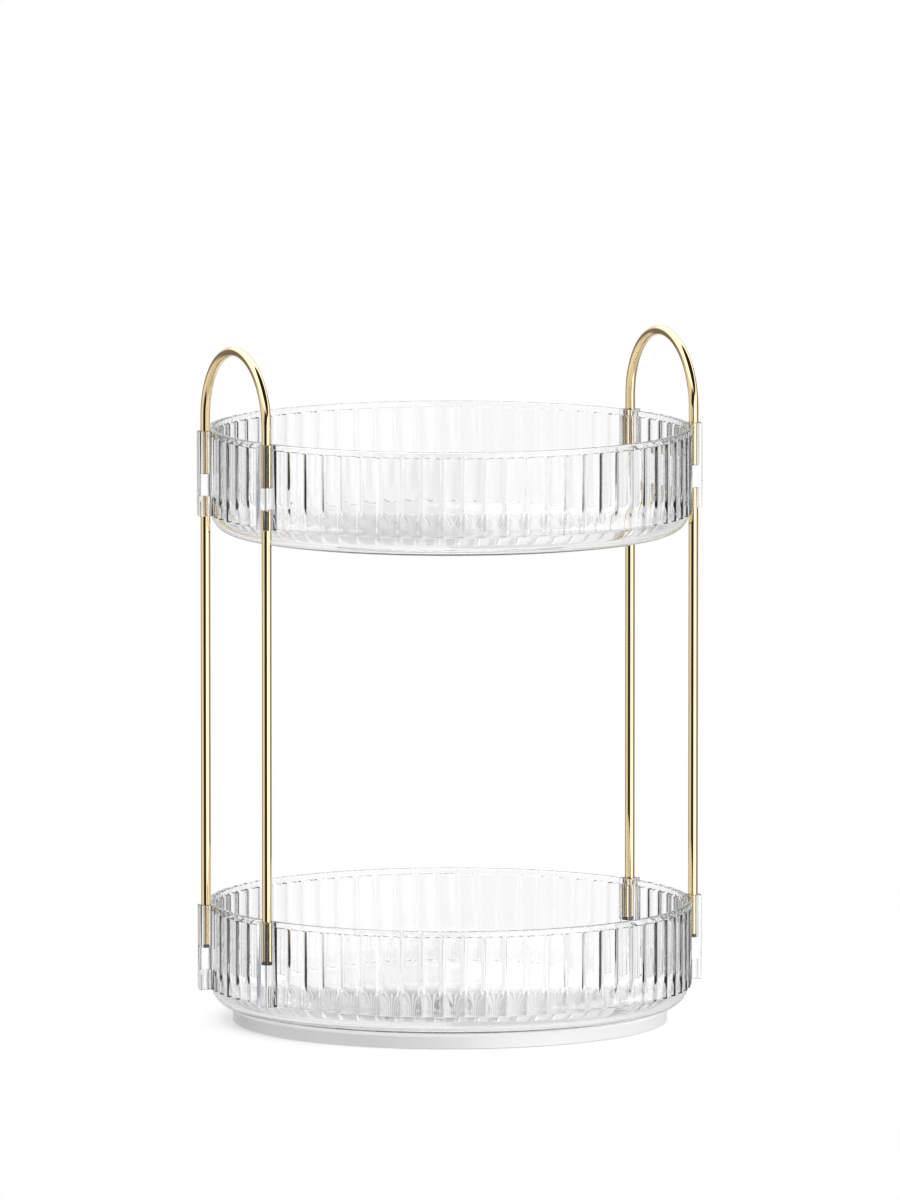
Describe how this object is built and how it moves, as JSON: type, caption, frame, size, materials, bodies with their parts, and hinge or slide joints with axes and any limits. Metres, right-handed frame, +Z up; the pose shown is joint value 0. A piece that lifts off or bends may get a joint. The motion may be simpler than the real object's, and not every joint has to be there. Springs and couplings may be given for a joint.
{
  "type": "rotating makeup organizer",
  "caption": "Tiered turntable organizer: clear fluted round trays on gold wire rods with arched handles, turning on balls in a low white base.",
  "frame": {"origin": "on the turning axis, at the level of the surface that the foot pads stand on", "axes": "+Z up the turning axis; the arched handles stand at -X and +X; -Y is the front"},
  "size_m": [0.2256, 0.2224, 0.3159],
  "materials": {
    "clear_plastic": "clear gloss",
    "gold_wire": "polished gold plating on steel",
    "white_plastic": "white gloss",
    "cage_plastic": "matt natural plastic",
    "ball_steel": "polished bearing steel",
    "screw_steel": "zinc plated steel",
    "pad_rubber": "matt rubber",
    "seat_rubber": "dark brown rubber"
  },
  "bodies": {
    "base": {"base_plate": "white_plastic", "foot_pad_1": "pad_rubber", "foot_pad_2": "pad_rubber", "foot_pad_3": "pad_rubber", "foot_pad_4": "pad_rubber", "foot_pad_5": "pad_rubber", "foot_pad_6": "pad_rubber"},
    "cage": {"ball_cage": "cage_plastic", "bearing_ball_01": "ball_steel", "bearing_ball_02": "ball_steel", "bearing_ball_03": "ball_steel", "bearing_ball_04": "ball_steel", "bearing_ball_05": "ball_steel", "bearing_ball_06": "ball_steel", "bearing_ball_07": "ball_steel", "bearing_ball_08": "ball_steel", "bearing_ball_09": "ball_steel", "bearing_ball_10": "ball_steel", "bearing_ball_11": "ball_steel", "bearing_ball_12": "ball_steel", "bearing_ball_13": "ball_steel", "bearing_ball_14": "ball_steel", "bearing_ball_15": "ball_steel", "bearing_ball_16": "ball_steel", "bearing_ball_17": "ball_steel", "bearing_ball_18": "ball_steel"},
    "carousel": {"lower_tray": "clear_plastic", "upper_tray": "clear_plastic", "rod_left_front": "gold_wire", "rod_left_rear": "gold_wire", "rod_right_front": "gold_wire", "rod_right_rear": "gold_wire", "rod_seat_left_front": "seat_rubber", "rod_seat_left_rear": "seat_rubber", "rod_seat_right_front": "seat_rubber", "rod_seat_right_rear": "seat_rubber", "arch_left": "gold_wire", "arch_right": "gold_wire", "pivot_screw": "screw_steel", "pivot_washer": "screw_steel"}
  },
  "joints": [
    {"name": "carousel_spin", "type": "hinge", "parent": "base", "child": "carousel", "pos_m": [0, 0, 0.0073], "axis": [0, 0, 1], "continuous": true},
    {"name": "cage_spin", "type": "hinge", "parent": "base", "child": "cage", "pos_m": [0, 0, 0.0073], "axis": [0, 0, 1], "continuous": true}
  ],
  "couplings": [
    {"joint": "cage_spin", "follows": "carousel_spin", "ratio": 0.5}
  ]
}
